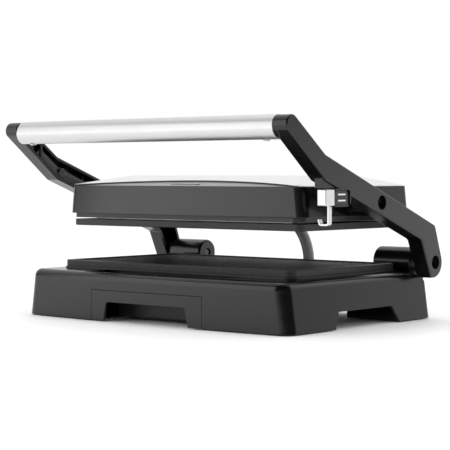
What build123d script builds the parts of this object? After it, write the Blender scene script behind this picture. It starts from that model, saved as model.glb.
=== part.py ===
"""Contact grill (panini press): hinged base and floating head, cast plates, arms, handle, latch and drip tray.

Frame: +Z up, +X to the right, the front faces -Y. Origin under the middle of the object, on the table.
"""
import os
from math import cos, radians, sin

from build123d import *

os.makedirs("parts", exist_ok=True)

# ---- driving dimensions, mm ----
PLATE_W = 280.0            # cooking plate width
PLATE_D = 157.6            # cooking plate depth
PLATE_GAP = 33.2           # between the two rims with the head raised
RIM_TOP = 52.3             # top of the lower plate's rim
HINGE_Y = 106.4            # arms' hinge axis
HINGE_Z = 53.2
PIVOT_Y = 18.8             # head's pivot axis in the arms
PIVOT_Z = 109.8
ARM_IN = 155.3             # inner faces of the arms
ARM_OUT = 170.8            # outer faces of the arms
WALL = 2.6                 # plastic wall
RUN = 0.05                 # radial running clearance of pins
SLIDE = 0.4                # gap beside sliding parts

# base
BASE_W = 320.0             # at the table
BASE_TOP_W = 307.6         # across the tops of the side walls
BASE_TOP = 44.5
BASE_LOW = 0.6             # housing's lower edge, just off the table
BASE_FRONT = -100.1        # front corners
BASE_BOW = 6.2             # the front bows out by this much
BASE_REAR = 115.4
DECK_T = 4.0               # deck thickness
BASE_ROUND = 7.0           # deck's rounded front and side edges
RECESS_Z = 38.1            # floor of the drain recess
FOOT_H = 15.4              # height of the cut-outs between the feet
BOTTOM_Z = 16.6            # bottom cover's underside
POCKET_Z = 39.5            # floor of the pockets for the hinge barrels
PEDESTAL_Z = 35.2          # underside of the thick deck below the hinge barrels
TRAY_W = 134.6             # drip tray panel
TRAY_H = 28.4
PLATE_Y = 8.4              # middle of the lower plate

# head
HEAD_Y = 20.4              # middle of the upper plate
HEAD_W = 282.8             # at the top edge
HEAD_LOW_W = 288.4         # at the lower edge
HEAD_LOW = 97.4
HEAD_TOP = 124.0
HEAD_FRONT = -59.6
HEAD_BOW = 6.4
HEAD_REAR = 101.7
CROWN_TOP = 133.6
TRIM_LOW = 93.2

# handle
TUBE_Y = -108.1
TUBE_Z = 174.0
TUBE_DEPTH = 19.0
TUBE_HEIGHT = 21.0

RIM_LOW = RIM_TOP + PLATE_GAP   # lower face of the upper plate's rim
RIM_H = 6.1                     # height of a plate's rim
FLOOR_T = 2.3                   # plate's web
RIB_H = 2.8
RIB_PITCH = 8.4
RIM_W = 5.0
SPOUT_Y = PLATE_Y - 52          # drain spout of the lower plate


def save(name, builder):
    """Label a finished piece and write it."""
    builder.part.label = name
    export_step(builder.part, f"parts/{name}.step")


def plan(half_width, front, bow, rear, corner, rear_corner):
    """Closed outline in plan: bowed front, straight sides and rear, rounded corners."""
    with BuildSketch() as outline:
        with BuildLine():
            ThreePointArc((-half_width, front), (0, front - bow), (half_width, front))
            Line((half_width, front), (half_width, rear))
            Line((half_width, rear), (-half_width, rear))
            Line((-half_width, rear), (-half_width, front))
        make_face()
        fillet(outline.vertices().group_by(Axis.Y)[0], corner)
        fillet(outline.vertices().group_by(Axis.Y)[-1], rear_corner)
    return outline.sketch


# =====================================================================================================
# Base
# =====================================================================================================
def base_block(inset, low, drop, rounded=True):
    """The base's outer body, or with an inset the hollow inside it."""
    with BuildPart() as block:
        for height, width in ((0, BASE_W), (BASE_TOP, BASE_TOP_W)):
            with BuildSketch(Plane.XY.offset(height)):
                add(plan(width / 2 - inset, BASE_FRONT + inset, BASE_BOW, BASE_REAR - inset, 11 - inset, 5 - inset / 2))
        loft(ruled=True)
        with BuildSketch(Plane.XY.offset(low)):
            Rectangle(400, 300)
        extrude(amount=BASE_TOP - drop - low, mode=Mode.INTERSECT)
        if rounded:
            # the deck rolls over into the front and the sides
            rim = block.edges().group_by(Axis.Z)[-1].sort_by(Axis.Y)
            fillet([edge for edge in rim if edge.center().Y < BASE_REAR - 12], BASE_ROUND - inset)
        # slope down to the rear wall
        with BuildSketch(Plane.YZ):
            with BuildLine():
                Polyline((94.5, BASE_TOP - drop), (BASE_REAR + 2, 32 - drop), (BASE_REAR + 2, 60), (94.5, 60), close=True)
            make_face()
        extrude(amount=200, both=True, mode=Mode.SUBTRACT)
    return block.part


# walls of the hollow feet in plan: centre x and y, width, depth; each one has a mirror twin
FOOT_WALLS = [(128.5, 66.0, 57, WALL), (101.3, 90.0, WALL, 50), (143, -35.9, 34, WALL),
              (69.4, -68.0, WALL, 66), (98, -36.0, 57, WALL)]

with BuildPart() as foot_walls:
    add(base_block(0.3, BASE_LOW, BASE_TOP - 30, False))
    with BuildSketch(Plane.XY):
        for x, y, width, depth in FOOT_WALLS:
            with Locations((-x, y), (x, y)):
                Rectangle(width, depth)
    extrude(amount=BOTTOM_Z + 1, mode=Mode.INTERSECT)
    with BuildSketch(Plane.XY):
        with Locations((-98, -36.0), (98, -36.0)):
            Rectangle(56, 2 * WALL)
    extrude(amount=FOOT_H, mode=Mode.SUBTRACT)

with BuildPart() as base_housing:
    add(base_block(0, BASE_LOW, 0))
    add(base_block(WALL, BASE_LOW - 1, DECK_T, False), mode=Mode.SUBTRACT)
    add(foot_walls.part)
    # trapezoid cut through both side walls, between the front and rear feet
    with BuildSketch(Plane.YZ):
        with BuildLine():
            Polyline((-35.1, -1), (65.4, -1), (54.0, FOOT_H), (-27.6, FOOT_H), close=True)
        make_face()
    extrude(amount=200, both=True, mode=Mode.SUBTRACT)
    # deck opening under the plate
    with BuildSketch(Plane.XY.offset(30)):
        with Locations((0, PLATE_Y)):
            RectangleRounded(258, 150, 6)
    extrude(amount=20, mode=Mode.SUBTRACT)
    # drain recess in the middle of the front deck
    with BuildSketch(Plane.XZ):
        with BuildLine():
            Polyline((-83, BASE_TOP + 1), (83, BASE_TOP + 1), (77, RECESS_Z), (-77, RECESS_Z), close=True)
        make_face()
    extrude(amount=99.5, mode=Mode.SUBTRACT)
    # the recess keeps a floor
    with BuildSketch(Plane.XY.offset(RECESS_Z - 2.6)):
        with Locations((0, -83.0)):
            Rectangle(172, 33)
    extrude(amount=2.6)
    # drip tray doorway
    with BuildSketch(Plane.XZ.offset(80)):
        with Locations((0, TRAY_H / 2 - 1)):
            Rectangle(TRAY_W + 2 * SLIDE, TRAY_H + 2 + 2 * SLIDE)
    extrude(amount=40, mode=Mode.SUBTRACT)
    # opening between the rear feet
    with BuildSketch(Plane.XZ.offset(-100)):
        with Locations((0, FOOT_H / 2)):
            Rectangle(2 * 100, FOOT_H)
    extrude(amount=-30, mode=Mode.SUBTRACT)
    # pockets for the two hinge barrels
    with BuildSketch(Plane.XY.offset(POCKET_Z)):
        with Locations((-127, 108), (127, 108)):
            Rectangle(47, 30)
    extrude(amount=10, mode=Mode.SUBTRACT)
    with BuildSketch(Plane.XY.offset(PEDESTAL_Z)):
        with Locations((-127, 103.6), (127, 103.6)):
            Rectangle(50, 22)
    extrude(amount=POCKET_Z - PEDESTAL_Z)
    # hole for the cord gland, hole for the conduit gland
    with Locations(Location((-92, BASE_REAR - 1, 27), (90, 0, 0))):
        Hole(6.0, 10)
    with Locations((22, 108.4, BASE_TOP)):
        Hole(6.4, 11)
    # drain slot in the recess
    with BuildSketch(Plane.XY.offset(30)):
        with Locations((0, -78)):
            SlotOverall(40, 8)
    extrude(amount=12, mode=Mode.SUBTRACT)
save("base_housing", base_housing)

SCREW_SPOTS = [(-112, 40, BOTTOM_Z), (112, 40, BOTTOM_Z), (-112, -18, BOTTOM_Z), (112, -18, BOTTOM_Z)]

with BuildPart() as base_bottom_cover:
    add(base_block(WALL + 0.4, BOTTOM_Z, BASE_TOP - BOTTOM_Z - 2, False))
    # tunnel over the drip tray
    with BuildSketch(Plane.XY.offset(BOTTOM_Z)):
        with Locations((0, -24.5)):
            Rectangle(136.8, 150)
    extrude(amount=32.4 - BOTTOM_Z)
    with BuildSketch(Plane.XY.offset(BOTTOM_Z - 1)):
        with Locations((0, -27.5)):
            Rectangle(132.4, 152)
    extrude(amount=31.4 - BOTTOM_Z, mode=Mode.SUBTRACT)
    # grease falls through this slot into the pan
    with BuildSketch(Plane.XY.offset(28)):
        with Locations((0, -58)):
            SlotOverall(90, 48)
    extrude(amount=6, mode=Mode.SUBTRACT)
    with Locations(*SCREW_SPOTS):
        Hole(1.6, 10)
    # room for the walls of the front feet
    with BuildSketch(Plane.XY.offset(BOTTOM_Z - 1)):
        for x, y, width, depth in FOOT_WALLS:
            with Locations((-x, y), (x, y)):
                Rectangle(width + 2, depth + 0.4 if depth < 10 else depth + 2)
    extrude(amount=2.2, mode=Mode.SUBTRACT)
save("base_bottom_cover", base_bottom_cover)

with BuildPart() as foot_pads:
    with BuildSketch(Plane.XY):
        with Locations((-138, -62), (138, -62), (-132, 92), (132, 92)):
            RectangleRounded(22, 22, 4)
    extrude(amount=BOTTOM_Z - 0.2)
save("foot_pads", foot_pads)

with BuildPart() as base_screws:
    with Locations(*SCREW_SPOTS):
        Cylinder(3.2, 1.8, align=(Align.CENTER, Align.CENTER, Align.MAX))
        Cylinder(1.5, 12, align=(Align.CENTER, Align.CENTER, Align.MIN))
        Cylinder(1.2, 1.2, align=(Align.CENTER, Align.CENTER, Align.MAX), mode=Mode.SUBTRACT)
save("base_screws", base_screws)


def seat_ring(width, depth, y, low, high, band):
    """Flat frame round a plate, with rounded corners."""
    with BuildPart() as ring:
        with BuildSketch(Plane.XY.offset(low)):
            with Locations((0, y)):
                RectangleRounded(width, depth, 9)
                RectangleRounded(width - 2 * band, depth - 2 * band, 5, mode=Mode.SUBTRACT)
        extrude(amount=high - low)
    return ring.part


with BuildPart() as lower_seat:
    add(seat_ring(PLATE_W + 3, PLATE_D + 3, PLATE_Y, BASE_TOP + 0.1, RIM_TOP - RIM_H - 0.1, 14))
    add(seat_ring(256, 148, PLATE_Y, BASE_TOP - 3, BASE_TOP + 0.2, 2))
    chamfer(lower_seat.edges().group_by(Axis.Z)[-1].filter_by(GeomType.LINE), 0.3)
save("lower_seat", lower_seat)


def tray(y, floor, rim, sheet):
    """Folded sheet-metal heat reflector: a shallow box open towards its plate."""
    with BuildPart() as box:
        with BuildSketch(Plane.XY.offset(min(floor, rim))):
            with Locations((0, y)):
                RectangleRounded(248, 130, 6)
        extrude(amount=abs(rim - floor))
        face = box.faces().sort_by(Axis.Z)[-1 if rim > floor else 0]
        offset(amount=-sheet, openings=face)
    return box.part


with BuildPart() as lower_reflector:
    add(tray(PLATE_Y, 36.0, 46.0, 0.9))
    with Locations((0, SPOUT_Y, 36)):
        Hole(8.5, 4)
    with Locations((0, SPOUT_Y, 36.0)):
        Cylinder(9.4, 8.5, align=(Align.CENTER, Align.CENTER, Align.MIN))
        Cylinder(8.5, 30, mode=Mode.SUBTRACT)
save("lower_reflector", lower_reflector)


def heating_element(y, z):
    """Tubular element bent into a U, with both cold ends at the rear."""
    with BuildPart() as element:
        with BuildLine() as route:
            FilletPolyline(
                (-70, y + 60, z), (-70, y + 38, z), (-104, y + 38, z), (-104, y - 38, z), (104, y - 38, z),
                (104, y + 38, z), (70, y + 38, z), (70, y + 60, z), radius=10,
            )
        with BuildSketch(Plane(origin=(-70, y + 60, z), z_dir=(0, -1, 0))):
            Circle(3.2)
        sweep(path=route.line)
    return element.part


with BuildPart() as lower_element:
    add(heating_element(PLATE_Y, 42.2))
save("lower_element", lower_element)


def grill_plate(y, rim, up):
    """Ribbed cast plate. Its rim ends at height rim and its ribs point up (+1) or down (-1)."""
    web = rim - up * (RIM_H - 0.2)
    with BuildPart() as plate:
        with BuildSketch(Plane.XY.offset(min(rim, rim - up * RIM_H))):
            with Locations((0, y)):
                RectangleRounded(PLATE_W, PLATE_D, 7)
        extrude(amount=RIM_H)
        fillet(plate.edges().group_by(Axis.Z)[-1 if up > 0 else 0], 0.9)
        with BuildSketch(Plane.XY.offset(min(rim + up, web + up * FLOOR_T))):
            with Locations((0, y)):
                RectangleRounded(PLATE_W - 2 * RIM_W, PLATE_D - 2 * RIM_W, 5)
        extrude(amount=abs(rim + up - web - up * FLOOR_T), mode=Mode.SUBTRACT)
        base = web + up * (FLOOR_T - 0.2)
        top = base + up * RIB_H
        with BuildSketch(Plane.XZ.offset(-(y - PLATE_D / 2 + RIM_W + 5))):
            with GridLocations(RIB_PITCH, 1, 31, 1):
                Polygon((-2.1, base), (2.1, base), (1.1, top), (-1.1, top), align=None)
        extrude(amount=-(PLATE_D - 2 * RIM_W - 10))
    return plate.part


with BuildPart() as lower_plate:
    add(grill_plate(PLATE_Y, RIM_TOP, 1))
    # drain spout near the front edge
    with Locations((0, SPOUT_Y, RIM_TOP - RIM_H + 0.5)):
        Cylinder(7, 16, align=(Align.CENTER, Align.CENTER, Align.MAX))
    with Locations((0, SPOUT_Y, RIM_TOP)):
        Hole(5, 60)
save("lower_plate", lower_plate)


def plate_screws(y, z, up):
    """Studs and nuts that hold a plate to its reflector."""
    with BuildPart() as screws:
        with Locations((-60, y + 15, z), (60, y + 15, z)):
            Cylinder(2, 6, align=(Align.CENTER, Align.CENTER, Align.MAX if up > 0 else Align.MIN))
        with Locations((-60, y + 15, z - up * 6), (60, y + 15, z - up * 6)):
            Cylinder(4, 2.4, align=(Align.CENTER, Align.CENTER, Align.MIN if up > 0 else Align.MAX))
    return screws.part


with BuildPart() as lower_plate_screws:
    add(plate_screws(PLATE_Y, RIM_TOP - RIM_H - 0.05, 1))
save("lower_plate_screws", lower_plate_screws)

with BuildPart() as thermostat:
    with Locations((96, 20, 19)):
        Box(24, 30, 11, align=(Align.CENTER, Align.CENTER, Align.MIN))
    with Locations((96, 20, 30)):
        Cylinder(6, 4, align=(Align.CENTER, Align.CENTER, Align.MIN))
save("thermostat", thermostat)

with BuildPart() as terminal_block:
    with Locations((-92, 50, 19)):
        Box(30, 18, 12, align=(Align.CENTER, Align.CENTER, Align.MIN))
    with Locations((-100, 50, 31), (-92, 50, 31), (-84, 50, 31)):
        Hole(1.8, 7)
save("terminal_block", terminal_block)

with BuildPart() as tray_runners:
    for side in (-1, 1):
        with Locations((side * 64.6, -18, 21.2)):
            Box(3.0, 118, 1.8, align=(Align.CENTER, Align.CENTER, Align.MIN))
save("tray_runners", tray_runners)

with BuildPart() as cord_gland:
    with Locations(Location((-92, BASE_REAR + 2.6, 27), (90, 0, 0))):
        Cylinder(9, 2.4, align=(Align.CENTER, Align.CENTER, Align.MIN))
        Cylinder(5.9, 12, align=(Align.CENTER, Align.CENTER, Align.MIN))
        Cylinder(3.6, 30, mode=Mode.SUBTRACT)
save("cord_gland", cord_gland)

# ---- hinge barrels: fixed to the base, one at each side ----
BARREL_R = 13.4
BARREL_IN = 109.0
BARREL_REAR = 118.0        # flat on the back of each barrel
BARREL_OUT = 150.0
PIN_R = 4.5


def hinge_barrel(side):
    """Barrel on its pedestal, bored for the hinge pin; side is -1 or 1."""
    middle = side * (BARREL_IN + BARREL_OUT) / 2
    with BuildPart() as barrel:
        with BuildSketch(Plane.YZ.offset(middle)):
            with Locations((HINGE_Y, HINGE_Z)):
                Circle(BARREL_R)
            with Locations((HINGE_Y - 0.2, (POCKET_Z + 0.2 + HINGE_Z) / 2)):
                Rectangle(18, HINGE_Z - POCKET_Z - 0.2)
        extrude(amount=(BARREL_OUT - BARREL_IN) / 2, both=True)
        ends = barrel.faces().sort_by(Axis.X)
        fillet(ends[0 if side > 0 else -1].edges().filter_by(GeomType.CIRCLE), 2.4)
        with Locations(Location((middle, HINGE_Y, HINGE_Z), (0, 90, 0))):
            Hole(PIN_R + RUN, 30)
        with Locations((middle, BARREL_REAR, HINGE_Z)):
            Box(60, 10, 40, align=(Align.CENTER, Align.MIN, Align.CENTER), mode=Mode.SUBTRACT)
    return barrel.part


for side, name in ((-1, "hinge_barrel_left"), (1, "hinge_barrel_right")):
    with BuildPart() as hinge:
        add(hinge_barrel(side))
    save(name, hinge)

with BuildPart() as barrel_screws:
    screw_y = HINGE_Y - 6.5
    with Locations(*[(x, screw_y, PEDESTAL_Z) for x in (-138, -118, 118, 138)]):
        Cylinder(3.2, 2.2, align=(Align.CENTER, Align.CENTER, Align.MAX))
save("barrel_screws", barrel_screws)

# =====================================================================================================
# Hinge pins: they turn in the barrels when the lid opens, and the arms turn on them when the head is pressed
# =====================================================================================================
PIN_INNER = 112.0
PIN_OUTER = 163.0

for side, name in ((-1, "hinge_pin_left"), (1, "hinge_pin_right")):
    with BuildPart() as pin:
        with BuildSketch(Plane.YZ.offset(side * PIN_INNER)):
            with Locations((HINGE_Y, HINGE_Z)):
                Circle(PIN_R)
        extrude(amount=side * (PIN_OUTER - PIN_INNER))
        # collar between the barrel and the arm
        with BuildSketch(Plane.YZ.offset(side * (BARREL_OUT + 0.35))):
            with Locations((HINGE_Y, HINGE_Z)):
                Circle(8.0)
        extrude(amount=side * (ARM_IN - BARREL_OUT - 0.7))
    save(name, pin)

with BuildPart() as pin_screws:
    for side in (-1, 1):
        with BuildSketch(Plane.YZ.offset(side * PIN_INNER)):
            with Locations((HINGE_Y, HINGE_Z)):
                Circle(3.0)
        extrude(amount=-side * 1.8)
save("pin_screws", pin_screws)

# =====================================================================================================
# Arms and handle
# =====================================================================================================
ARM_POINTS = [(-118.0, 172.7), (-118.0, 192.1), (-64.3, 151.4), (106.1, 87.4),
              (124.2, 38.9), (99.1, 38.9), (82.9, 74.9), (-64.1, 129.5)]
ARM_RADII = [6.0, 8.0, 6.0, 4.5, 14.0, 1.5, 5.0, 8.0]
ARM_WEB = 2.6
SOCKET_R = 6.4
BOSS_R = 9.5


def arm_outline():
    """Side view of an arm: handle end at the front, cranked down to the hinge at the rear."""
    with BuildSketch() as outline:
        with BuildLine():
            Polyline(*ARM_POINTS, close=True)
        make_face()
        for point, radius in zip(ARM_POINTS, ARM_RADII):
            corner = outline.vertices().sort_by_distance(Vector(*point))[0]
            fillet(corner, radius)
    return outline.sketch


ARM_SHAPE = arm_outline()


def channel_outline():
    """Side view of the hollow inside an arm, behind the solid handle end."""
    with BuildSketch() as outline:
        add(ARM_SHAPE)
        offset(amount=-ARM_WEB, mode=Mode.REPLACE)
        with Locations((-118, 170)):
            Rectangle(44, 60, mode=Mode.SUBTRACT)
    return outline.sketch


CHANNEL_SHAPE = channel_outline()


def arm(side):
    """Channel-section arm, open towards the head; side is -1 or 1."""
    inner = side * ARM_IN
    thickness = side * (ARM_OUT - ARM_IN)
    with BuildPart() as shell:
        with BuildSketch(Plane.YZ.offset(inner)):
            add(ARM_SHAPE)
        extrude(amount=thickness)
        fillet(shell.faces().sort_by(Axis.X)[-1 if side > 0 else 0].edges(), 1.2)
        with BuildSketch(Plane.YZ.offset(inner)):
            add(CHANNEL_SHAPE)
        extrude(amount=thickness - side * ARM_WEB, mode=Mode.SUBTRACT)
        # bosses round the two axes and at the bend
        with BuildSketch(Plane.YZ.offset(inner)):
            with Locations((PIVOT_Y, PIVOT_Z)):
                Circle(BOSS_R)
            with Locations((HINGE_Y, HINGE_Z)):
                Circle(BOSS_R)
        extrude(amount=thickness - side * 1)
        with BuildSketch(Plane.YZ.offset(inner + side * 3)):
            with Locations((-58.3, 136.4)):
                Circle(5)
        extrude(amount=thickness - side * 4)
        # cross ribs in the channel
        with BuildSketch(Plane.YZ.offset(inner + side * 6)):
            for step in range(9):
                with Locations((-90 + 22 * step, 140)):
                    Rectangle(1.4, 120)
            add(CHANNEL_SHAPE, mode=Mode.INTERSECT)
        extrude(amount=thickness - side * 7)
        # bores and the sunk sockets on the outside
        for y, z, bore in ((PIVOT_Y, PIVOT_Z, 5.03), (HINGE_Y, HINGE_Z, PIN_R + RUN)):
            with BuildSketch(Plane.YZ.offset(inner)):
                with Locations((y, z)):
                    Circle(bore)
            extrude(amount=thickness, mode=Mode.SUBTRACT)
            with BuildSketch(Plane.YZ.offset(side * (PIN_OUTER + 1.6))):
                with Locations((y, z)):
                    Circle(SOCKET_R)
            extrude(amount=side * 10, mode=Mode.SUBTRACT)
        # hole for the stiffener and cover screw
        with BuildSketch(Plane.YZ.offset(inner + side * 2)):
            with Locations((-58.3, 136.4)):
                Circle(2.2)
        extrude(amount=side * 9, mode=Mode.SUBTRACT)
    return shell.part


# latch seat on the right arm
PAD_REAR = -27.9
PAD_FRONT = -51.2
PAD_Z = 114.75
PAD_R = 7.75


def pad_outline(grow):
    """Stadium with a flat front end, seen from the side."""
    with BuildSketch() as outline:
        with Locations(((PAD_FRONT + PAD_REAR) / 2, PAD_Z)):
            Rectangle(PAD_REAR - PAD_FRONT + 2 * grow, 2 * (PAD_R + grow))
        fillet(outline.vertices().group_by(Axis.X)[-1], 6.5)
    return outline.sketch


PAD_SHAPE = pad_outline(0)
PAD_HOLE = pad_outline(0.1)

with BuildPart() as arm_left:
    add(arm(-1))
save("arm_left", arm_left)

with BuildPart() as arm_right:
    add(arm(1))
    with BuildSketch(Plane.YZ.offset(158.4)):
        add(PAD_HOLE)
    extrude(amount=20, mode=Mode.SUBTRACT)
save("arm_right", arm_right)

with BuildPart() as latch_pad:
    with BuildSketch(Plane.YZ.offset(158.6)):
        add(PAD_SHAPE)
    extrude(amount=ARM_OUT - 158.6)
    # slot in which the push button slides
    with BuildSketch(Plane.YZ.offset(165.0)):
        with Locations(((PAD_FRONT - 4 + PAD_REAR - 1.6) / 2, PAD_Z)):
            Rectangle(PAD_REAR - 1.6 - PAD_FRONT + 4, 12.9)
    extrude(amount=20, mode=Mode.SUBTRACT)
save("latch_pad", latch_pad)


def cover_outline():
    """Side view of the inner cover: the lower part of the channel, from the handle to the pivot."""
    with BuildSketch() as outline:
        add(ARM_SHAPE)
        offset(amount=-ARM_WEB - 0.2, mode=Mode.REPLACE)
        with BuildLine():
            Polyline((-84, 230), (-84, 153.5), (-68, 139), (8, 112), (8, 230), close=True)
        make_face(mode=Mode.SUBTRACT)
        with Locations((-118, 150)):
            Rectangle(64, 200, mode=Mode.SUBTRACT)
        with Locations((68, 110)):
            Rectangle(120, 200, mode=Mode.SUBTRACT)
        with Locations((-58.3, 136.4)):
            Circle(2.2, mode=Mode.SUBTRACT)
    return outline.sketch


COVER_SHAPE = cover_outline()

for side, name in ((-1, "arm_cover_left"), (1, "arm_cover_right")):
    with BuildPart() as inner_cover:
        with BuildSketch(Plane.YZ.offset(side * (ARM_IN + 0.2))):
            add(COVER_SHAPE)
        extrude(amount=side * 1.4)
    save(name, inner_cover)

with BuildPart() as arm_cover_screws:
    for side in (-1, 1):
        with BuildSketch(Plane.YZ.offset(side * (ARM_IN - 0.8))):
            with Locations((-58.3, 136.4)):
                Circle(4.2)
        extrude(amount=side * 0.9)
        with BuildSketch(Plane.YZ.offset(side * (ARM_IN - 0.8))):
            with Locations((-58.3, 136.4)):
                Circle(2.0)
        extrude(amount=side * 9)
save("arm_cover_screws", arm_cover_screws)

with BuildPart() as arm_stiffeners:
    for side in (-1, 1):
        with BuildSketch(Plane.YZ.offset(side * (ARM_IN + 1.7))):
            with BuildLine():
                Polyline((-90, 155.5), (-66, 136.2), (4, 109), (6, 115), (-62, 141.5), (-86, 160), close=True)
            make_face()
            with Locations((-58.3, 136.4)):
                Circle(2.2, mode=Mode.SUBTRACT)
        extrude(amount=side * 1.2)
save("arm_stiffeners", arm_stiffeners)


def tube_oval(shrink):
    """Section of the handle tube, taller than it is deep."""
    with BuildSketch() as oval:
        with Locations((TUBE_Y, TUBE_Z)):
            Ellipse(TUBE_DEPTH / 2 - shrink, TUBE_HEIGHT / 2 - shrink)
    return oval.sketch


TUBE_OUTSIDE = tube_oval(0)
TUBE_INSIDE = tube_oval(1.4)
PLUG_OUTSIDE = tube_oval(1.45)
TUBE_SCREW_X = 142.0

with BuildPart() as handle_tube:
    with BuildSketch(Plane.YZ.offset(-ARM_IN)):
        add(TUBE_OUTSIDE)
        add(TUBE_INSIDE, mode=Mode.SUBTRACT)
    extrude(amount=2 * ARM_IN)
    with Locations((-TUBE_SCREW_X, TUBE_Y, TUBE_Z - 9), (TUBE_SCREW_X, TUBE_Y, TUBE_Z - 9)):
        Cylinder(1.7, 6, mode=Mode.SUBTRACT)
save("handle_tube", handle_tube)

with BuildPart() as handle_plugs:
    for side in (-1, 1):
        with BuildSketch(Plane.YZ.offset(side * ARM_IN)):
            add(PLUG_OUTSIDE)
        extrude(amount=-side * 26)
        with Locations((side * TUBE_SCREW_X, TUBE_Y, TUBE_Z - 7)):
            Cylinder(1.6, 12, mode=Mode.SUBTRACT)
save("handle_plugs", handle_plugs)

with BuildPart() as handle_screws:
    with Locations((-TUBE_SCREW_X, TUBE_Y, TUBE_Z - TUBE_HEIGHT / 2), (TUBE_SCREW_X, TUBE_Y, TUBE_Z - TUBE_HEIGHT / 2)):
        Cylinder(3.0, 1.2, align=(Align.CENTER, Align.CENTER, Align.MAX))
        Cylinder(1.5, 8, align=(Align.CENTER, Align.CENTER, Align.MIN))
save("handle_screws", handle_screws)

for side, name in ((-1, "pivot_pin_left"), (1, "pivot_pin_right")):
    with BuildPart() as pivot:
        with BuildSketch(Plane.YZ.offset(side * 136)):
            with Locations((PIVOT_Y, PIVOT_Z)):
                Circle(5.0)
        extrude(amount=side * (PIN_OUTER - 136))
    save(name, pivot)

# latch bracket under the right arm, in front of the pad
with BuildPart() as latch_bracket:
    with BuildSketch(Plane.YZ.offset(160.5)):
        with BuildLine():
            Polyline((-66.0, 122.9), (-49.5, 122.9), (-49.5, 123.6), (-64.0, 129.4), (-66.6, 131.5), close=True)
        make_face()
    extrude(amount=8.5)
    with Locations((165.5, -60.5, 122.2)):
        Cylinder(0.8, 1.2, align=(Align.CENTER, Align.CENTER, Align.MIN))
save("latch_bracket", latch_bracket)

# =====================================================================================================
# Latch: slides forwards along the slot in the pad
# =====================================================================================================
BLOCK_FRONT = -64.3
BLOCK_REAR = -51.6
BLOCK_LOW = 108.0
BLOCK_TOP = 121.9

with BuildPart() as latch_block:
    with Locations((166.2, (BLOCK_FRONT + BLOCK_REAR) / 2, (BLOCK_LOW + BLOCK_TOP) / 2)):
        Box(9.2, BLOCK_REAR - BLOCK_FRONT, BLOCK_TOP - BLOCK_LOW)
    fillet(latch_block.edges(), 0.8)
save("latch_block", latch_block)

HOOK_X = 167.2
HOOK_Y = -54.3

with BuildPart() as latch_hook:
    with BuildLine() as hook_path:
        FilletPolyline(
            (HOOK_X, HOOK_Y, BLOCK_LOW - 0.02), (HOOK_X, HOOK_Y, 91.6), (158.2, HOOK_Y, 91.6), (156.9, HOOK_Y, 96.2),
            radius=2.0,
        )
    with BuildSketch(Plane(origin=(HOOK_X, HOOK_Y, BLOCK_LOW - 0.02), x_dir=(0, 1, 0), z_dir=(0, 0, -1))):
        Rectangle(4.2, 1.7)
    sweep(path=hook_path.line)
save("latch_hook", latch_hook)

with BuildPart() as latch_button:
    with BuildSketch(Plane.YZ.offset(165.2)) as button_face:
        with Locations(((-32.3 + BLOCK_REAR + 0.1) / 2, PAD_Z)):
            Rectangle(-32.3 - BLOCK_REAR - 0.1, 12.3)
        fillet(button_face.vertices().sort_by(Axis.Y)[-2:], 4)
    extrude(amount=5.3)
save("latch_button", latch_button)

with BuildPart() as latch_marks:
    with Locations((170.63, -41.4, PAD_Z + 2.8), (170.63, -41.4, PAD_Z - 2.4)):
        Box(0.24, 10.5, 1.3)
save("latch_marks", latch_marks)

# =====================================================================================================
# Head
# =====================================================================================================


def head_half(z):
    """Half the head's width at a height: its sides lean in slightly."""
    return (HEAD_LOW_W + (HEAD_W - HEAD_LOW_W) * (z - HEAD_LOW) / (HEAD_TOP - HEAD_LOW)) / 2


def head_block(inset, low, top):
    """The head's outer body, or with an inset the hollow inside it."""
    with BuildPart() as block:
        for z in (low, top):
            with BuildSketch(Plane.XY.offset(z)):
                add(plan(head_half(z) - inset, HEAD_FRONT + inset, HEAD_BOW, HEAD_REAR - inset, 9 - inset, 4 - inset / 2))
        loft(ruled=True)
    return block.part


with BuildPart() as upper_housing:
    add(head_block(0, HEAD_LOW, HEAD_TOP - 0.1))
    add(head_block(WALL, HEAD_LOW - 1, HEAD_TOP - 2.2), mode=Mode.SUBTRACT)
    with BuildSketch(Plane.YZ):
        with Locations((PIVOT_Y, PIVOT_Z)):
            Circle(8.2)
    extrude(amount=200, both=True, mode=Mode.SUBTRACT)
save("upper_housing", upper_housing)

for side, name in ((-1, "pivot_boss_left"), (1, "pivot_boss_right")):
    with BuildPart() as boss:
        with BuildSketch(Plane.YZ.offset(side * 134)):
            with Locations((PIVOT_Y, PIVOT_Z)):
                Circle(8)
        extrude(amount=side * 16)
        with BuildSketch(Plane.YZ.offset(side * 134)):
            with Locations((PIVOT_Y, PIVOT_Z)):
                RectangleRounded(26, 20, 3)
        extrude(amount=side * 2.4)
        with BuildSketch(Plane.YZ.offset(side * 130)):
            with Locations((PIVOT_Y, PIVOT_Z)):
                Circle(5.0 + RUN)
        extrude(amount=side * 30, mode=Mode.SUBTRACT)
    save(name, boss)

SLOPE_Y = -66.0            # foot of the cover's front slope
SLOPE_END = -11.6
SLOPE = (CROWN_TOP - HEAD_TOP) / (SLOPE_END - SLOPE_Y)


def crown(inset, drop):
    """Low pyramid with a flat top: the outside of the top cover, or its hollow."""
    with BuildPart() as block:
        with BuildSketch(Plane.XY.offset(HEAD_TOP - drop)):
            with Locations((0, (SLOPE_Y + HEAD_REAR + 0.8) / 2)):
                Rectangle(HEAD_W + 1.6 - 2 * inset, HEAD_REAR + 0.8 - SLOPE_Y - 2 * inset)
        with BuildSketch(Plane.XY.offset(CROWN_TOP - drop)):
            with Locations((0, (SLOPE_END + 73.4) / 2)):
                Rectangle(208 - inset, 73.4 - SLOPE_END - inset)
        loft(ruled=True)
    return block.part


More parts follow.
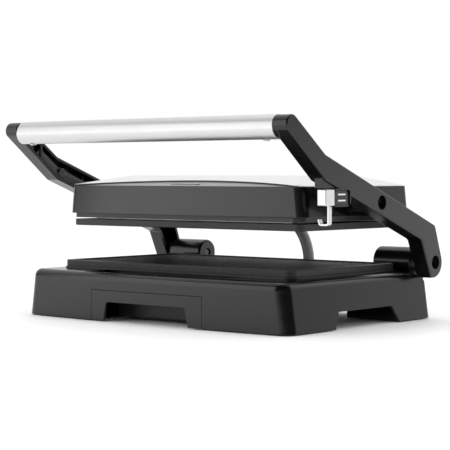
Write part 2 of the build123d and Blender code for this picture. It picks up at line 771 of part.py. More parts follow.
def fascia_segment(grow, low, high):
    """Lens-shaped field on the front slope, between two heights above the slope."""
    with BuildPart() as segment:
        with BuildSketch(Plane.XY.offset(110)):
            with BuildLine():
                ThreePointArc((-139.5, -62.0 + grow), (0, -36.6 + grow), (139.5, -62.0 + grow))
                Polyline((139.5, -62.0 + grow), (139.5, -80), (-139.5, -80), (-139.5, -62.0 + grow))
            make_face()
        extrude(amount=30)
        with BuildSketch(Plane.YZ):
            with BuildLine():
                Polyline((-80, HEAD_TOP + low + (-80 - SLOPE_Y) * SLOPE), (-30, HEAD_TOP + low + (-30 - SLOPE_Y) * SLOPE),
                         (-30, HEAD_TOP + high + (-30 - SLOPE_Y) * SLOPE),
                         (-80, HEAD_TOP + high + (-80 - SLOPE_Y) * SLOPE), close=True)
            make_face()
        extrude(amount=200, both=True, mode=Mode.INTERSECT)
    return segment.part


with BuildPart() as top_cover:
    add(crown(0, 0))
    add(head_block(0, HEAD_LOW, 150), mode=Mode.INTERSECT)
    add(crown(6, 5.0), mode=Mode.SUBTRACT)
    add(fascia_segment(0.15, -2.6, 20), mode=Mode.SUBTRACT)
save("top_cover", top_cover)

WINDOW_Y = -50.2

with BuildPart() as front_fascia:
    add(fascia_segment(0, -2.5, -1.2))
    add(head_block(0.1, HEAD_TOP + 0.02, 150), mode=Mode.INTERSECT)
    with BuildSketch(Plane.XY.offset(115)):
        with Locations((0, WINDOW_Y)):
            SlotOverall(35, 4.6)
    extrude(amount=30, mode=Mode.SUBTRACT)
save("front_fascia", front_fascia)

with BuildPart() as indicator_window:
    add(fascia_segment(0, -2.5, -1.3))
    with BuildSketch(Plane.XY.offset(115)):
        with Locations((0, WINDOW_Y)):
            SlotOverall(34.6, 4.2)
    extrude(amount=30, mode=Mode.INTERSECT)
save("indicator_window", indicator_window)

with BuildPart() as upper_trim:
    add(seat_ring(PLATE_W, PLATE_D + 1, HEAD_Y, TRIM_LOW, HEAD_LOW - 0.1, 14))
save("upper_trim", upper_trim)

with BuildPart() as upper_reflector:
    add(tray(HEAD_Y, 102.0, RIM_LOW + RIM_H + 0.2, 0.9))
save("upper_reflector", upper_reflector)

with BuildPart() as upper_element:
    add(heating_element(HEAD_Y, RIM_LOW + RIM_H + 3.6))
save("upper_element", upper_element)

with BuildPart() as upper_plate:
    add(grill_plate(HEAD_Y, RIM_LOW, -1))
save("upper_plate", upper_plate)

with BuildPart() as upper_plate_screws:
    add(plate_screws(HEAD_Y, RIM_LOW + RIM_H + 0.05, -1))
save("upper_plate_screws", upper_plate_screws)

with BuildPart() as thermal_fuse:
    with Locations((20, HEAD_Y, 106)):
        Box(30, 12, 3)
        Cylinder(3, 22, rotation=(0, 90, 0))
save("thermal_fuse", thermal_fuse)

# =====================================================================================================
# Conduit for the head's wires, and its two glands
# =====================================================================================================
CONDUIT_R = 5.5
CONDUIT_X = 22.0
CONDUIT_Y = 108.4
CONDUIT_BEND = 48.0
CONDUIT_TURN = 62.0
BEND_Z = 49.0
END_X = CONDUIT_X - CONDUIT_BEND * (1 - cos(radians(CONDUIT_TURN)))
END_Z = BEND_Z + CONDUIT_BEND * sin(radians(CONDUIT_TURN))
END_DIR = Vector(-sin(radians(CONDUIT_TURN)), 0, cos(radians(CONDUIT_TURN)))

with BuildPart() as conduit:
    with BuildLine() as conduit_path:
        Line((CONDUIT_X, CONDUIT_Y, 45.4), (CONDUIT_X, CONDUIT_Y, BEND_Z))
        ThreePointArc(
            (CONDUIT_X, CONDUIT_Y, BEND_Z),
            (CONDUIT_X - CONDUIT_BEND * (1 - cos(radians(CONDUIT_TURN / 2))), CONDUIT_Y,
             BEND_Z + CONDUIT_BEND * sin(radians(CONDUIT_TURN / 2))),
            (END_X, CONDUIT_Y, END_Z),
        )
    with BuildSketch(Plane.XY.offset(45.4)):
        with Locations((CONDUIT_X, CONDUIT_Y)):
            Circle(CONDUIT_R)
    sweep(path=conduit_path.line)
save("conduit", conduit)

with BuildPart() as base_conduit_gland:
    with Locations((CONDUIT_X, CONDUIT_Y, 34.0)):
        Cylinder(6.3, 15.5, align=(Align.CENTER, Align.CENTER, Align.MIN))
    with Locations((CONDUIT_X, CONDUIT_Y, 45.3)):
        Cylinder(CONDUIT_R + 0.1, 8, align=(Align.CENTER, Align.CENTER, Align.MIN), mode=Mode.SUBTRACT)
    with Locations((CONDUIT_X, CONDUIT_Y, 46)):
        Hole(3.6, 14)
save("base_conduit_gland", base_conduit_gland)

with BuildPart() as head_conduit_gland:
    with BuildSketch(Plane(origin=Vector(END_X, CONDUIT_Y, END_Z) + END_DIR * 0.4, z_dir=END_DIR)):
        Circle(6.6)
    extrude(amount=13)
    with Locations((-15.5, (HEAD_REAR + 0.1 + CONDUIT_Y) / 2, 103)):
        Box(14, CONDUIT_Y - HEAD_REAR - 0.1, 14)
save("head_conduit_gland", head_conduit_gland)

# =====================================================================================================
# Drip tray: slides out at the front
# =====================================================================================================
PANEL_LOW = 0.9

with BuildPart() as drip_tray_panel:
    add(base_block(0, BASE_LOW, 0))
    add(base_block(WALL, BASE_LOW - 1, DECK_T, False), mode=Mode.SUBTRACT)
    with BuildSketch(Plane.XZ.offset(85)):
        with Locations((0, (PANEL_LOW + TRAY_H) / 2)):
            Rectangle(TRAY_W, TRAY_H - PANEL_LOW)
    extrude(amount=40, mode=Mode.INTERSECT)
    # grip cut-out
    with BuildSketch(Plane.XZ.offset(85)) as grip:
        with BuildLine():
            Polyline((-52.5, -2), (52.5, -2), (48, 18), (-48, 18), close=True)
        make_face()
        fillet(grip.vertices().group_by(Axis.Z)[-1], 2.5)
    extrude(amount=40, mode=Mode.SUBTRACT)
save("drip_tray_panel", drip_tray_panel)

PAN_FRONT = -77.6
PAN_REAR = 45.0
PAN_LOW = 2.2
PAN_TOP = 24.6

with BuildPart() as drip_tray_pan:
    with BuildSketch(Plane.XY.offset(PAN_LOW)):
        with Locations((0, (PAN_FRONT + PAN_REAR) / 2)):
            RectangleRounded(124, PAN_REAR - PAN_FRONT, 5)
    extrude(amount=PAN_TOP - PAN_LOW)
    fillet(drip_tray_pan.edges().group_by(Axis.Z)[0], 2)
    # side flanges, and the neck to the front panel
    with BuildSketch(Plane.XY.offset(PAN_TOP - 1.4)):
        with Locations((0, (PAN_FRONT + PAN_REAR) / 2)):
            Rectangle(131, PAN_REAR - PAN_FRONT)
        with Locations((0, -89)):
            Rectangle(112, 24)
    extrude(amount=1.4)
    with BuildSketch(Plane.XY.offset(PAN_LOW + 1.6)):
        with Locations((0, (PAN_FRONT + PAN_REAR) / 2)):
            RectangleRounded(120.8, PAN_REAR - PAN_FRONT - 3.2, 3.4)
    extrude(amount=30, mode=Mode.SUBTRACT)
    # lugs behind the panel
    with Locations((-58, -98.6, 22), (58, -98.6, 22)):
        Box(9, 3.4, 8)
save("drip_tray_pan", drip_tray_pan)

with BuildPart() as tray_screws:
    for side in (-1, 1):
        with Locations(Location((side * 58, -96.1, 20.5), (90, 0, 0))):
            Cylinder(2.6, 1.4)
save("tray_screws", tray_screws)
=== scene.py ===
"""Looks of a contact grill (panini press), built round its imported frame: finishes, light and fine pieces."""

from math import asin, cos, pi, radians, sin

import bmesh
import bpy
from mathutils import Matrix, Vector


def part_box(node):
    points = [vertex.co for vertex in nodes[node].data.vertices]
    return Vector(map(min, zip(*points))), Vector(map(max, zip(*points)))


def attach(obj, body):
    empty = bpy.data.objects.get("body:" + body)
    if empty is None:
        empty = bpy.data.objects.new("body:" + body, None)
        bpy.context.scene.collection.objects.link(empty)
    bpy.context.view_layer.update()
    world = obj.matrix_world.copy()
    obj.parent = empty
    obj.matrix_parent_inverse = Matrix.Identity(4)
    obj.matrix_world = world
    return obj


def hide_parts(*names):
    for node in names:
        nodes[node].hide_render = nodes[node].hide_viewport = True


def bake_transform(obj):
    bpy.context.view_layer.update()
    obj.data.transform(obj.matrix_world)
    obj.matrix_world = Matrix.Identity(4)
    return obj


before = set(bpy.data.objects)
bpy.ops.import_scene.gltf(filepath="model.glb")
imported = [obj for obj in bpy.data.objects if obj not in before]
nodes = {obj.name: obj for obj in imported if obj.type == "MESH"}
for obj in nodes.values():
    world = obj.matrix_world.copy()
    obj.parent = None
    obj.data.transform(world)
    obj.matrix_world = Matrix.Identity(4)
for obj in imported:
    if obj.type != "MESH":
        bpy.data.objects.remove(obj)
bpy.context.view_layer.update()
scene = bpy.context.scene
MM = 0.001

# ---- camera -----------------------------------------------------------------------------------------
CAMERA_PLACE = Vector((936.64, -1099.03, 134.64)) * MM
CAMERA_TURN = radians(40.286)      # to the left of straight back
CAMERA_DIP = radians(1.897)        # below the horizon
LENS = 122.19
SENSOR = 36.0
FARTHEST = 60.0                    # metres

view = bpy.data.objects.new("view", bpy.data.cameras.new("view"))
scene.collection.objects.link(view)
view.location = CAMERA_PLACE
view.rotation_euler = (pi / 2 - CAMERA_DIP, 0, CAMERA_TURN)
view.data.lens = LENS
view.data.sensor_width = SENSOR
view.data.clip_end = FARTHEST
scene.camera = view
scene.view_settings.view_transform = "Standard"


# ---- shader values and finishes ---------------------------------------------------------------------
class Value:
    """A shader socket that arithmetic turns into Math nodes."""

    def __init__(self, finish, socket):
        self.finish = finish
        self.socket = socket

    def math(self, operation, *terms, clamp=False):
        settings = {"operation": operation, "use_clamp": clamp}
        return self.finish.node("Math", settings, dict(enumerate(terms)))

    def __add__(self, other):
        return self.math("ADD", self, other)

    def __radd__(self, other):
        return self.math("ADD", other, self)

    def __sub__(self, other):
        return self.math("SUBTRACT", self, other)

    def __rsub__(self, other):
        return self.math("SUBTRACT", other, self)

    def __mul__(self, other):
        return self.math("MULTIPLY", self, other)

    def __rmul__(self, other):
        return self.math("MULTIPLY", other, self)

    def held(self):
        """The value kept between 0 and 1."""
        return self.math("ADD", self, 0.0, clamp=True)

    def rise(self, low, high):
        """0 below low, 1 above high, smooth between."""
        settings = {"interpolation_type": "SMOOTHSTEP"}
        return self.finish.node("MapRange", settings, {"Value": self, "From Min": low, "From Max": high})


class Finish:
    """One node material and the patterns it is made from."""

    def __init__(self, name, **fixed):
        self.material = bpy.data.materials.new(name)
        self.material.use_nodes = True
        self.tree = self.material.node_tree
        self.shader = self.tree.nodes["Principled BSDF"]
        self.place = self.node("TexCoord", output="Object")
        for words, value in fixed.items():
            self.set(words.replace("_", " ").title().replace("Ior", "IOR"), value)

    def node(self, kind, settings=(), inputs=(), output=0):
        """Any shader node: its settings first, then the values or links of its sockets."""
        made = self.tree.nodes.new("ShaderNode" + kind)
        for word, value in dict(settings).items():
            setattr(made, word, value)
        for socket, value in dict(inputs).items():
            self.feed(made.inputs[socket], value)
        return Value(self, made.outputs[output])

    def feed(self, socket, value):
        if isinstance(value, Value):
            self.tree.links.new(value.socket, socket)
        elif isinstance(value, tuple) and len(value) == 3 and socket.type == "RGBA":
            socket.default_value = (*value, 1)
        else:
            socket.default_value = value

    def set(self, socket, value):
        self.feed(self.shader.inputs[socket], value)

    def noise(self, size, detail=2.0, stretch=(1, 1, 1), shift=(0, 0, 0)):
        """Soft random pattern with features of about size mm, longer along the axes with a big stretch."""
        scale = tuple(1 / (size * MM * s) for s in stretch)
        spot = self.node("Mapping", {}, {"Vector": self.place, "Scale": scale, "Location": shift})
        return self.node("TexNoise", {}, {"Vector": spot, "Scale": 1.0, "Detail": detail})

    def cells(self, size):
        """Distance to random points about size mm apart."""
        scale = (1 / (size * MM),) * 3
        spot = self.node("Mapping", {}, {"Vector": self.place, "Scale": scale})
        return self.node("TexVoronoi", {}, {"Vector": spot, "Scale": 1.0}, "Distance")

    def shades(self, factor, first, second):
        """Colour between two others."""
        return self.node("Mix", {"data_type": "RGBA"}, {0: factor, 6: first, 7: second}, 2)

    def soft_edge(self, radius):
        """Surface normal with every sharp edge rounded by radius mm."""
        return self.node("Bevel", {"samples": 6}, {"Radius": radius * MM})

    def worn(self, radius, gain):
        """1 along the edges, 0 on flat and gently curved faces."""
        edge = self.soft_edge(radius)
        face = self.node("NewGeometry", output="Normal")
        along = self.node("VectorMath", {"operation": "DOT_PRODUCT"}, {0: edge, 1: face}, "Value")
        return ((1 - along) * gain).held()

    def relief(self, height, depth, normal=None):
        """Bump of depth mm, on top of another normal."""
        inputs = {"Strength": 1.0, "Distance": depth * MM, "Height": height}
        if normal is not None:
            inputs["Normal"] = normal
        bump = self.node("Bump", {}, inputs)
        self.set("Normal", bump)


def moulded(name, shade, rough, grain, edge=0.6, tint=(1.0, 1.0, 1.03)):
    """Injection-moulded black plastic with fine grain, slight gloss variation and paler handled edges."""
    f = Finish(name)
    base = tuple(shade * t for t in tint)
    cloud = f.noise(38, 3)
    rubbed = f.worn(edge, 2.2) * f.noise(6, 3, shift=(3, 1, 7)).rise(0.38, 0.66)
    pale = tuple(shade * 2.6 + 0.012 * t for t in tint)
    tone = f.shades(cloud, base, tuple(c * 1.35 for c in base))
    f.set("Base Color", f.shades(rubbed * 0.4, tone, pale))
    dust = f.noise(1.6, 4, shift=(9, 2, 4)).rise(0.55, 0.8)
    f.set("Roughness", rough + (cloud - 0.5) * 0.05 + dust * 0.03 + rubbed * 0.06)
    f.relief(f.noise(0.34, 1) + f.noise(9, 1) * 0.5, grain, f.soft_edge(edge))
    return f.material


def cast_coating(name):
    """Non-stick coating on cast aluminium: black, pebbled, with fine pale flecks."""
    f = Finish(name)
    pebble = f.noise(0.9, 3)
    fleck = 1 - f.cells(1.3).rise(0.14, 0.30)
    spots = fleck * f.noise(2.1, 2, shift=(5, 5, 1)).rise(0.42, 0.58)
    cloud = f.noise(26, 3)
    ground = f.shades(cloud, (0.006, 0.006, 0.0065), (0.012, 0.012, 0.0125))
    rubbed = f.worn(0.8, 2.4) * f.noise(3, 3).rise(0.35, 0.7)
    colour = f.shades((spots * 0.75 + rubbed * 0.30).held(), ground, (0.12, 0.12, 0.125))
    f.set("Base Color", colour)
    f.set("Roughness", 0.34 + pebble * 0.16 - spots * 0.10)
    f.relief(pebble + f.noise(0.35, 2) * 0.5 + spots * 0.8, 0.26, f.soft_edge(0.7))
    return f.material


def brushed(name, shade, rough, lines, depth=0.012, edge=0.5, metal=1.0):
    """Brushed metal: hair-fine lines along the axis in which lines is large."""
    f = Finish(name)
    hair = f.noise(0.22, 3, stretch=lines)
    streak = f.noise(1.3, 3, stretch=lines, shift=(4, 8, 2))
    smudge = f.noise(30, 2).rise(0.35, 0.75)
    low = tuple(0.90 * c for c in shade)
    f.set("Base Color", f.shades(hair * 0.6 + streak * 0.4, low, shade))
    f.set("Metallic", metal)
    f.set("Roughness", rough + (streak - 0.5) * 0.12 + (hair - 0.5) * 0.10 + smudge * 0.05)
    f.relief(hair + streak * 0.6, depth, f.soft_edge(edge))
    return f.material


def plated(name, shade, rough, edge=0.35):
    """Zinc- or nickel-plated steel with faint mottling."""
    f = Finish(name, metallic=1.0)
    mottle = f.noise(2.4, 4)
    f.set("Base Color", f.shades(mottle, tuple(0.82 * c for c in shade), shade))
    f.set("Roughness", rough + (mottle - 0.5) * 0.16 + f.noise(0.5, 2) * 0.05)
    f.relief(f.noise(0.5, 2), 0.012, f.soft_edge(edge))
    return f.material


def rubbery(name):
    """Matt rubber with fine pores."""
    f = Finish(name)
    pores = 1 - f.cells(0.8).rise(0.05, 0.3)
    bloom = f.noise(9, 3)
    f.set("Base Color", f.shades(bloom, (0.016, 0.016, 0.016), (0.034, 0.033, 0.032)))
    f.set("Roughness", 0.72 + bloom * 0.12)
    f.relief(f.noise(0.5, 2) - pores, 0.05, f.soft_edge(0.8))
    return f.material


def lens(name):
    """Smoked clear plastic over the indicator lamps."""
    f = Finish(name, metallic=0.0, coat_weight=1.0, coat_roughness=0.05)
    depth = f.noise(7, 2)
    f.set("Base Color", f.shades(depth, (0.015, 0.015, 0.018), (0.035, 0.033, 0.035)))
    f.set("Roughness", 0.10 + depth * 0.05)
    f.relief(f.noise(3, 1), 0.01, f.soft_edge(0.3))
    return f.material


def print_white(name):
    """Raised pad-printed bars."""
    f = Finish(name)
    worn = f.noise(0.8, 4).rise(0.3, 0.7)
    f.set("Base Color", f.shades(worn, (0.62, 0.62, 0.60), (0.82, 0.82, 0.80)))
    f.set("Roughness", 0.55 - worn * 0.08)
    f.relief(f.noise(0.4, 2), 0.015, f.soft_edge(0.15))
    return f.material


def sleeving(name):
    """Grey glossy silicone sleeve with faint flow marks."""
    f = Finish(name)
    cloud = f.noise(7, 3)
    flow = f.noise(1.2, 3, stretch=(1, 1, 9))
    f.set("Base Color", f.shades(cloud, (0.20, 0.20, 0.205), (0.30, 0.30, 0.305)))
    f.set("Roughness", 0.24 + cloud * 0.08 + flow * 0.05)
    f.relief(flow + f.noise(0.5, 2) * 0.4, 0.010)
    return f.material


housing_black = moulded("housing_black", 0.0014, 0.20, 0.0012)
arm_black = moulded("arm_black", 0.0026, 0.24, 0.0015)
under_black = moulded("under_black", 0.0075, 0.50, 0.010)
trim_black = moulded("trim_black", 0.0055, 0.36, 0.004, 0.4)
cover_grey = moulded("cover_grey", 0.014, 0.42, 0.006, 0.4)
phenolic = moulded("phenolic", 0.030, 0.50, 0.010, 0.4, (1.1, 1.0, 0.9))
coating = cast_coating("coating")
tube_metal = brushed("tube_metal", (0.66, 0.66, 0.665), 0.38, (60, 1, 1), 0.006)
cover_metal = brushed("cover_metal", (0.80, 0.80, 0.805), 0.34, (60, 1, 1), 0.006, 3.0, 0.75)
fascia_metal = brushed("fascia_metal", (0.28, 0.28, 0.285), 0.34, (60, 1, 1), 0.010, 0.3)
sheet_metal = brushed("sheet_metal", (0.62, 0.62, 0.63), 0.36, (1, 30, 1), 0.012, 0.4)
screw_steel = plated("screw_steel", (0.66, 0.66, 0.68), 0.24)
dark_steel = plated("dark_steel", (0.10, 0.10, 0.105), 0.30)
latch_zinc = plated("latch_zinc", (0.80, 0.80, 0.81), 0.34, 0.6)
pad_rubber = rubbery("pad_rubber")
smoked = lens("smoked")
bar_white = print_white("bar_white")
sleeve_grey = sleeving("sleeve_grey")

CAD_FINISHES = {
    housing_black: ("base_housing", "upper_housing", "drip_tray_panel"),
    arm_black: ("arm_left", "arm_right", "hinge_barrel_left", "hinge_barrel_right"),
    under_black: ("base_bottom_cover", "drip_tray_pan", "tray_runners", "handle_plugs"),
    trim_black: ("latch_pad", "latch_bracket", "latch_button", "upper_trim", "lower_seat", "pivot_boss_left",
                 "pivot_boss_right", "cord_gland", "base_conduit_gland", "head_conduit_gland"),
    cover_grey: ("arm_cover_left", "arm_cover_right"),
    phenolic: ("thermostat", "thermal_fuse", "terminal_block"),
    coating: ("lower_plate", "upper_plate"),
    tube_metal: ("handle_tube",),
    cover_metal: ("top_cover",),
    fascia_metal: ("front_fascia",),
    sheet_metal: ("lower_reflector", "upper_reflector"),
    dark_steel: ("arm_stiffeners", "pin_screws", "pivot_pin_left", "pivot_pin_right"),
    screw_steel: ("barrel_screws", "lower_plate_screws", "upper_plate_screws", "tray_screws", "lower_element",
                  "upper_element", "hinge_pin_left", "hinge_pin_right"),
    latch_zinc: ("latch_block", "latch_hook"),
    smoked: ("indicator_window",),
    bar_white: ("latch_marks",),
}


def dress(node, material):
    """Give a CAD node its finish."""
    part = nodes[node]
    if not part.material_slots:
        part.data.materials.append(material)
    for holder in part.material_slots:
        holder.material = material


for material, members in CAD_FINISHES.items():
    for member in members:
        dress(member, material)


# ---- new pieces -------------------------------------------------------------------------------------
def finish_piece(name, shape, material, body, replaced=(), sharp=35):
    """Turn a bmesh into a piece that rides on a body and stands for the replaced nodes."""
    mesh = bpy.data.meshes.new(name)
    bmesh.ops.remove_doubles(shape, verts=shape.verts, dist=1e-7)
    bmesh.ops.recalc_face_normals(shape, faces=shape.faces)
    shape.to_mesh(mesh)
    shape.free()
    mesh.shade_smooth()
    mesh.set_sharp_from_angle(angle=radians(sharp))
    mesh.materials.append(material)
    made = bpy.data.objects.new(name, mesh)
    scene.collection.objects.link(made)
    if body:
        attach(made, body)
    if replaced:
        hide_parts(*replaced)
    return made


def bevel(shape, edges, width, segments=3):
    """Round the given edges."""
    return bmesh.ops.bevel(shape, geom=edges, offset=width, offset_type="OFFSET", segments=segments,
                           profile=0.5, affect="EDGES", material=-1, clamp_overlap=True)


def joined(*shapes):
    """Several bmeshes as one."""
    whole = bmesh.new()
    for shape in shapes:
        passing = bpy.data.meshes.new("passing")
        shape.to_mesh(passing)
        shape.free()
        whole.from_mesh(passing)
        bpy.data.meshes.remove(passing)
    return whole


def slab(middle, size, corner, rim):
    """Block with rounded upright edges and softened top and bottom rims."""
    shape = bmesh.new()
    bmesh.ops.create_cube(shape, size=1.0)
    bmesh.ops.scale(shape, vec=size, verts=shape.verts)
    upright = [e for e in shape.edges if abs(e.verts[0].co.z - e.verts[1].co.z) > 1e-6]
    bevel(shape, upright, corner, 8)
    flat = [f for f in shape.faces if abs(f.normal.z) > 0.9]
    bevel(shape, list({e for f in flat for e in f.edges}), rim, 3)
    bmesh.ops.translate(shape, vec=middle, verts=shape.verts)
    return shape


# cable conduit: rises from the base's gland and leans over to the head's gland
CONDUIT_R = 5.5 * MM
CONDUIT_FOOT = Vector((22.0, 108.4, 45.4)) * MM
CONDUIT_RISE = 3.6 * MM
CONDUIT_BEND = 48.0 * MM
CONDUIT_TURN = radians(62)


def conduit_tube():
    """Closed round tube: a short straight rise, then one wide bend."""
    hose = bmesh.new()
    bmesh.ops.create_circle(hose, segments=40, radius=CONDUIT_R, cap_ends=False)
    bmesh.ops.translate(hose, vec=CONDUIT_FOOT, verts=hose.verts)
    grown = bmesh.ops.extrude_edge_only(hose, edges=list(hose.edges))["geom"]
    risen = [v for v in grown if isinstance(v, bmesh.types.BMVert)]
    bmesh.ops.translate(hose, vec=(0, 0, CONDUIT_RISE), verts=risen)
    rim = [e for e in grown if isinstance(e, bmesh.types.BMEdge) and all(v in risen for v in e.verts)]
    centre = CONDUIT_FOOT + Vector((-CONDUIT_BEND, 0, CONDUIT_RISE))
    bmesh.ops.spin(hose, geom=risen + rim, cent=centre, axis=(0, -1, 0), dvec=(0, 0, 0),
                   angle=CONDUIT_TURN, steps=36, use_merge=False, use_duplicate=False)
    bmesh.ops.holes_fill(hose, edges=[e for e in hose.edges if e.is_boundary], sides=0)
    return hose


conduit = finish_piece("conduit_sleeve", conduit_tube(), sleeve_grey, None, ("conduit",), 50)
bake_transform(conduit)

# rubber pads under the four feet
PAD_SIZE = 22 * MM
PAD_CORNER = 4 * MM
PAD_RIM = 1.2 * MM
PAD_SPOTS = ((-138, -62), (138, -62), (-132, 92), (132, 92))
pad_low, pad_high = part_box("foot_pads")
pad_tall = pad_high.z - pad_low.z
pads = [slab((x * MM, y * MM, pad_tall / 2), (PAD_SIZE, PAD_SIZE, pad_tall), PAD_CORNER, PAD_RIM)
        for x, y in PAD_SPOTS]
finish_piece("rubber_pads", joined(*pads), pad_rubber, "base", ("foot_pads",))


def carve(mesh, cutters):
    """The mesh with closed bmeshes cut out of it, as a bmesh."""
    block = bpy.data.objects.new("block", mesh)
    scene.collection.objects.link(block)
    tools = []
    for cutter in cutters:
        blade = bpy.data.meshes.new("blade")
        cutter.to_mesh(blade)
        cutter.free()
        tool = bpy.data.objects.new("blade", blade)
        scene.collection.objects.link(tool)
        cut = block.modifiers.new("cut", "BOOLEAN")
        cut.object = tool
        cut.solver = "EXACT"
        tools.append(tool)
    bpy.context.view_layer.update()
    out = bmesh.new()
    out.from_object(block, bpy.context.evaluated_depsgraph_get())
    for used in (block, *tools):
        old = used.data
        bpy.data.objects.remove(used)
        bpy.data.meshes.remove(old)
    return out


def cross_screw(place, out, radius, head, shank):
    """Pan-head screw with a cross recess; out is the direction its head faces."""
    shape = bmesh.new()
    bmesh.ops.create_cone(shape, cap_ends=True, segments=40, radius1=radius, radius2=radius, depth=head)
    bmesh.ops.translate(shape, vec=(0, 0, head / 2), verts=shape.verts)
    top = max(shape.faces, key=lambda f: f.calc_center_median().z)
    bevel(shape, list(top.edges), head * 0.55, 4)
    stem = bmesh.ops.create_cone(shape, cap_ends=True, segments=24, radius1=radius * 0.45,
                                 radius2=radius * 0.5, depth=shank)["verts"]
    bmesh.ops.translate(shape, vec=(0, 0, -shank / 2), verts=stem)
    body = bpy.data.meshes.new("screw")
    bmesh.ops.recalc_face_normals(shape, faces=shape.faces)
    shape.to_mesh(body)
    shape.free()
    blades = []
    for width, depth in ((radius * 1.15, radius * 0.24), (radius * 0.24, radius * 1.15)):
        blade = bmesh.new()
        bmesh.ops.create_cube(blade, size=1.0)
        bmesh.ops.scale(blade, vec=(width, depth, head * 1.2), verts=blade.verts)
        bmesh.ops.translate(blade, vec=(0, 0, head), verts=blade.verts)
        blades.append(blade)
    carved = carve(body, blades)
    turn = Vector(out).to_track_quat("Z", "Y").to_matrix().to_4x4()
    bmesh.ops.transform(carved, matrix=Matrix.Translation(Vector(place)) @ turn, verts=carved.verts)
    return carved


def screw_piece(name, spots, material, body, node, radius, head, shank):
    """A set of like screws that stands for a CAD node; each spot is a place in mm and a direction."""
    made = [cross_screw(Vector(place) * MM, out, radius * MM, head * MM, shank * MM) for place, out in spots]
    return finish_piece(name, joined(*made), material, body, (node,), 30)


DOWN = (0, 0, -1)
TUBE_SCREWS = [((x, -108.1, 163.5), DOWN) for x in (-142.0, 142.0)]
ARM_SCREWS = [((side * 155.3, -58.3, 136.4), (-side, 0, 0)) for side in (-1, 1)]
COVER_SCREWS = [((x, y, 16.6), DOWN) for x in (-112, 112) for y in (40, -18)]
screw_piece("tube_screws", TUBE_SCREWS, screw_steel, "arms", "handle_screws", radius=3.0, head=1.2, shank=7.5)
screw_piece("arm_screws", ARM_SCREWS, dark_steel, "arms", "arm_cover_screws", radius=4.2, head=0.8, shank=8.0)
screw_piece("cover_screws", COVER_SCREWS, screw_steel, "base", "base_screws",
            radius=3.2, head=1.8, shank=10.0)


# dark strip laid as painted shadow in the gap along the arc between the fascia and the cover, on the cover's
# front slope
SLOPE_FOOT_Y = -66.0 * MM
SLOPE_FOOT_Z = 124.0 * MM
SLOPE_RISE = 9.6 / 54.4            # height gained per distance back
ARC_HALF = 139.5 * MM
ARC_SAG = 25.4 * MM
ARC_CREST_Y = -36.6 * MM
ARC_R = (ARC_HALF ** 2 + ARC_SAG ** 2) / (2 * ARC_SAG)
ARC_TURN = 2 * asin(ARC_HALF / ARC_R)
SHADOW_STRIP_WIDE = 0.7 * MM
SHADOW_STRIP_TALL = 1.25 * MM
SHADOW_STRIP_LAP = 0.1 * MM              # past the fascia's edge
SHADOW_STRIP_MIDDLE = -0.72 * MM         # below the slope
lean = Matrix.Identity(4)
lean[2][1] = SLOPE_RISE
lean[2][3] = SLOPE_FOOT_Z - SLOPE_FOOT_Y * SLOPE_RISE


def shadow_gap_strip():
    """Thin dark strip, the painted shadow of the gap, bent along the arc, then laid on the slope."""
    strip = bmesh.new()
    bmesh.ops.create_grid(strip, x_segments=1, y_segments=1, size=0.5)
    bmesh.ops.scale(strip, vec=(SHADOW_STRIP_WIDE, SHADOW_STRIP_TALL, 1), verts=strip.verts)
    bmesh.ops.rotate(strip, cent=(0, 0, 0), matrix=Matrix.Rotation(pi / 2, 3, "X"), verts=strip.verts)
    reach = ARC_R - SHADOW_STRIP_WIDE / 2 + SHADOW_STRIP_LAP
    bmesh.ops.translate(strip, vec=(reach, 0, SHADOW_STRIP_MIDDLE), verts=strip.verts)
    start = Matrix.Rotation(pi / 2 - ARC_TURN / 2, 3, "Z")
    bmesh.ops.rotate(strip, cent=(0, 0, 0), matrix=start, verts=strip.verts)
    bmesh.ops.spin(strip, geom=list(strip.verts) + list(strip.edges) + list(strip.faces), cent=(0, 0, 0),
                   axis=(0, 0, 1), dvec=(0, 0, 0), angle=ARC_TURN, steps=120, use_merge=False,
                   use_duplicate=False)
    bmesh.ops.translate(strip, vec=(0, ARC_CREST_Y - ARC_R, 0), verts=strip.verts)
    bmesh.ops.transform(strip, matrix=lean, verts=strip.verts)
    return strip


# this strip paints the shadow in the gap between the fascia and the cover
finish_piece("fascia_shadow_strip", shadow_gap_strip(), trim_black, "head")

# smoked window over the two lamps, standing a little proud of the fascia
WINDOW_SIZE = (34.2 * MM, 4.0 * MM, 1.9 * MM)
WINDOW_MIDDLE = (0, -50.2 * MM, -1.55 * MM)
WINDOW_END = 1.95 * MM
WINDOW_RIM = 0.3 * MM
window = slab(WINDOW_MIDDLE, WINDOW_SIZE, WINDOW_END, WINDOW_RIM)
bmesh.ops.transform(window, matrix=lean, verts=window.verts)
finish_piece("lamp_window", window, smoked, "head", ("indicator_window",))


# ---- stage and light --------------------------------------------------------------------------------
def pale(name, shade, rough):
    """Plain matt paper."""
    f = Finish(name)
    f.set("Base Color", f.shades(f.noise(4, 2), tuple(0.985 * c for c in shade), shade))
    f.set("Roughness", rough)
    return f.material


FLOOR_HALF = 14.0                  # metres
FLOOR_DROP = 0.4 * MM
ground = bmesh.new()
bmesh.ops.create_grid(ground, x_segments=1, y_segments=1, size=FLOOR_HALF)
floor_mesh = bpy.data.meshes.new("floor")
ground.to_mesh(floor_mesh)
ground.free()
floor = bpy.data.objects.new("floor", floor_mesh)
floor_mesh.materials.append(pale("paper", (0.93, 0.93, 0.93), 0.7))
scene.collection.objects.link(floor)
floor.location.z = -FLOOR_DROP


LIT_SPOT = Vector((0, 0, 80)) * MM


def softbox(name, azimuth, height, distance, size, radiance):
    """Rectangular lamp that faces the object; azimuth is measured from +X."""
    lamp = bpy.data.lights.new(name, "AREA")
    lamp.shape = "RECTANGLE"
    lamp.size, lamp.size_y = size
    lamp.energy = radiance * pi * size[0] * size[1]
    holder = bpy.data.objects.new(name, lamp)
    scene.collection.objects.link(holder)
    turn = radians(azimuth)
    holder.location = (distance * cos(turn), distance * sin(turn), height)
    aim = LIT_SPOT - holder.location
    holder.rotation_euler = aim.to_track_quat("-Z", "Y").to_euler()
    holder.visible_camera = False


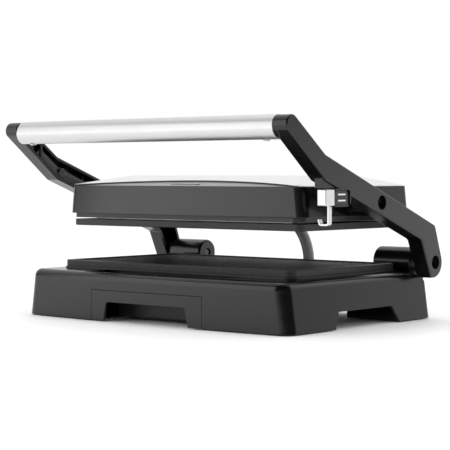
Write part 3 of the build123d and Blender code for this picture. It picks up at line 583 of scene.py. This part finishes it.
softbox("front_left_box", azimuth=-127, height=0.60, distance=1.7, size=(1.2, 1.3), radiance=1.75)
softbox("rear_right_box", azimuth=50, height=0.50, distance=1.7, size=(1.2, 1.1), radiance=0.46)
softbox("top_box", azimuth=120, height=2.0, distance=0.25, size=(1.6, 1.6), radiance=0.9)

ROOM_LIGHT = 1.12          # even light on matt surfaces
ROOM_BACK = 1.0            # what glossy surfaces mirror: a white wall behind the object ...
ROOM_FRONT = 0.03          # ... and a dark room in front of it
BACK_AZIMUTH = radians(128)
BACK_LIFT = 0.6            # how far the white wall reaches overhead
DIM_BELOW = 0.15
BRIGHT_ABOVE = 0.75
PAPER_WHITE = 1.0
world = bpy.data.worlds.new("room")
scene.world = world
world.use_nodes = True
sky = world.node_tree
rays = sky.nodes.new("ShaderNodeLightPath")


def room(strength):
    """Even white surroundings of one brightness."""
    made = sky.nodes.new("ShaderNodeBackground")
    made.inputs["Color"].default_value = (1, 1, 1, 1)
    made.inputs["Strength"].default_value = strength
    return made.outputs[0]


def either(choice, no, yes):
    """Surroundings mixed by a factor."""
    made = sky.nodes.new("ShaderNodeMixShader")
    sky.links.new(choice, made.inputs[0])
    sky.links.new(no, made.inputs[1])
    sky.links.new(yes, made.inputs[2])
    return made.outputs[0]


heading = sky.nodes.new("ShaderNodeTexCoord")
toward = sky.nodes.new("ShaderNodeVectorMath")
toward.operation = "DOT_PRODUCT"
toward.inputs[1].default_value = (cos(BACK_AZIMUTH), sin(BACK_AZIMUTH), BACK_LIFT)
sky.links.new(heading.outputs["Generated"], toward.inputs[0])
behind = sky.nodes.new("ShaderNodeMapRange")
behind.interpolation_type = "SMOOTHSTEP"
behind.inputs["From Min"].default_value = DIM_BELOW
behind.inputs["From Max"].default_value = BRIGHT_ABOVE
sky.links.new(toward.outputs["Value"], behind.inputs["Value"])
mirrored = either(behind.outputs[0], room(ROOM_FRONT), room(ROOM_BACK))
unseen = either(rays.outputs["Is Glossy Ray"], room(ROOM_LIGHT), mirrored)
seen = either(rays.outputs["Is Camera Ray"], unseen, room(PAPER_WHITE))
sky.links.new(seen, sky.nodes["World Output"].inputs[0])
